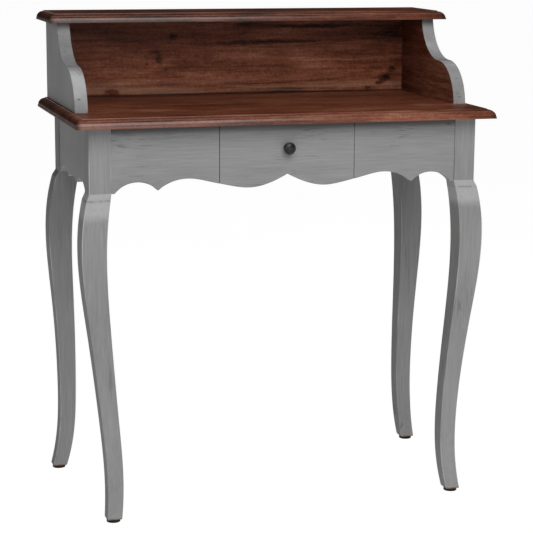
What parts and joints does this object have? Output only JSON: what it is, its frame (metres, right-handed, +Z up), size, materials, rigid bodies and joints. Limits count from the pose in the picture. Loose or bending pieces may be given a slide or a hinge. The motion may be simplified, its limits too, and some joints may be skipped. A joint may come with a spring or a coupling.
{
  "type": "writing desk",
  "caption": "Writing desk with painted cabriole legs, scalloped aprons, a stained moulded desktop, a low open hutch with S-curved sides and a small sliding drawer.",
  "frame": {"origin": "on the floor, under the middle of the desktop's plan, which is the middle of the whole plan box", "axes": "+X to the right along the desk's length, +Y to the rear, +Z up; the drawer opens along -Y"},
  "size_m": [0.78, 0.4, 0.8955],
  "materials": {
    "painted_wood": "brushed grey paint, eggshell, worn thin at edges",
    "stained_wood": "red-brown stain under satin varnish, grain along the length",
    "raw_wood": "planed, unfinished",
    "dark_iron": "dark waxed iron",
    "screw_steel": "zinc plated",
    "glide_plastic": "dull moulded"
  },
  "bodies": {
    "desk": {"leg_front_left": "painted_wood", "leg_front_right": "painted_wood", "leg_rear_left": "painted_wood", "leg_rear_right": "painted_wood", "apron_front_left": "painted_wood", "apron_front_right": "painted_wood", "apron_side_left": "painted_wood", "apron_side_right": "painted_wood", "apron_rear": "painted_wood", "hutch_side_left": "painted_wood", "hutch_side_right": "painted_wood", "desktop": "stained_wood", "hutch_back": "stained_wood", "hutch_top": "stained_wood", "drawer_guide_left": "raw_wood", "drawer_guide_right": "raw_wood", "drawer_runner_left": "raw_wood", "drawer_runner_right": "raw_wood", "drawer_kicker_left": "raw_wood", "drawer_kicker_right": "raw_wood", "drawer_stop_left": "raw_wood", "drawer_stop_right": "raw_wood", "corner_block_front_left": "raw_wood", "corner_block_front_right": "raw_wood", "corner_block_rear_left": "raw_wood", "corner_block_rear_right": "raw_wood", "desktop_screws": "screw_steel", "foot_pad_front_left": "glide_plastic", "foot_pad_front_right": "glide_plastic", "foot_pad_rear_left": "glide_plastic", "foot_pad_rear_right": "glide_plastic"},
    "drawer": {"drawer_front": "painted_wood", "drawer_side_left": "raw_wood", "drawer_side_right": "raw_wood", "drawer_back": "raw_wood", "drawer_bottom": "raw_wood", "knob": "dark_iron", "knob_rosette": "dark_iron", "knob_screw": "screw_steel"}
  },
  "joints": [
    {"name": "drawer_slide", "type": "slide", "parent": "desk", "child": "drawer", "axis": [0, -1, 0], "range_m": [0, 0.2]}
  ]
}
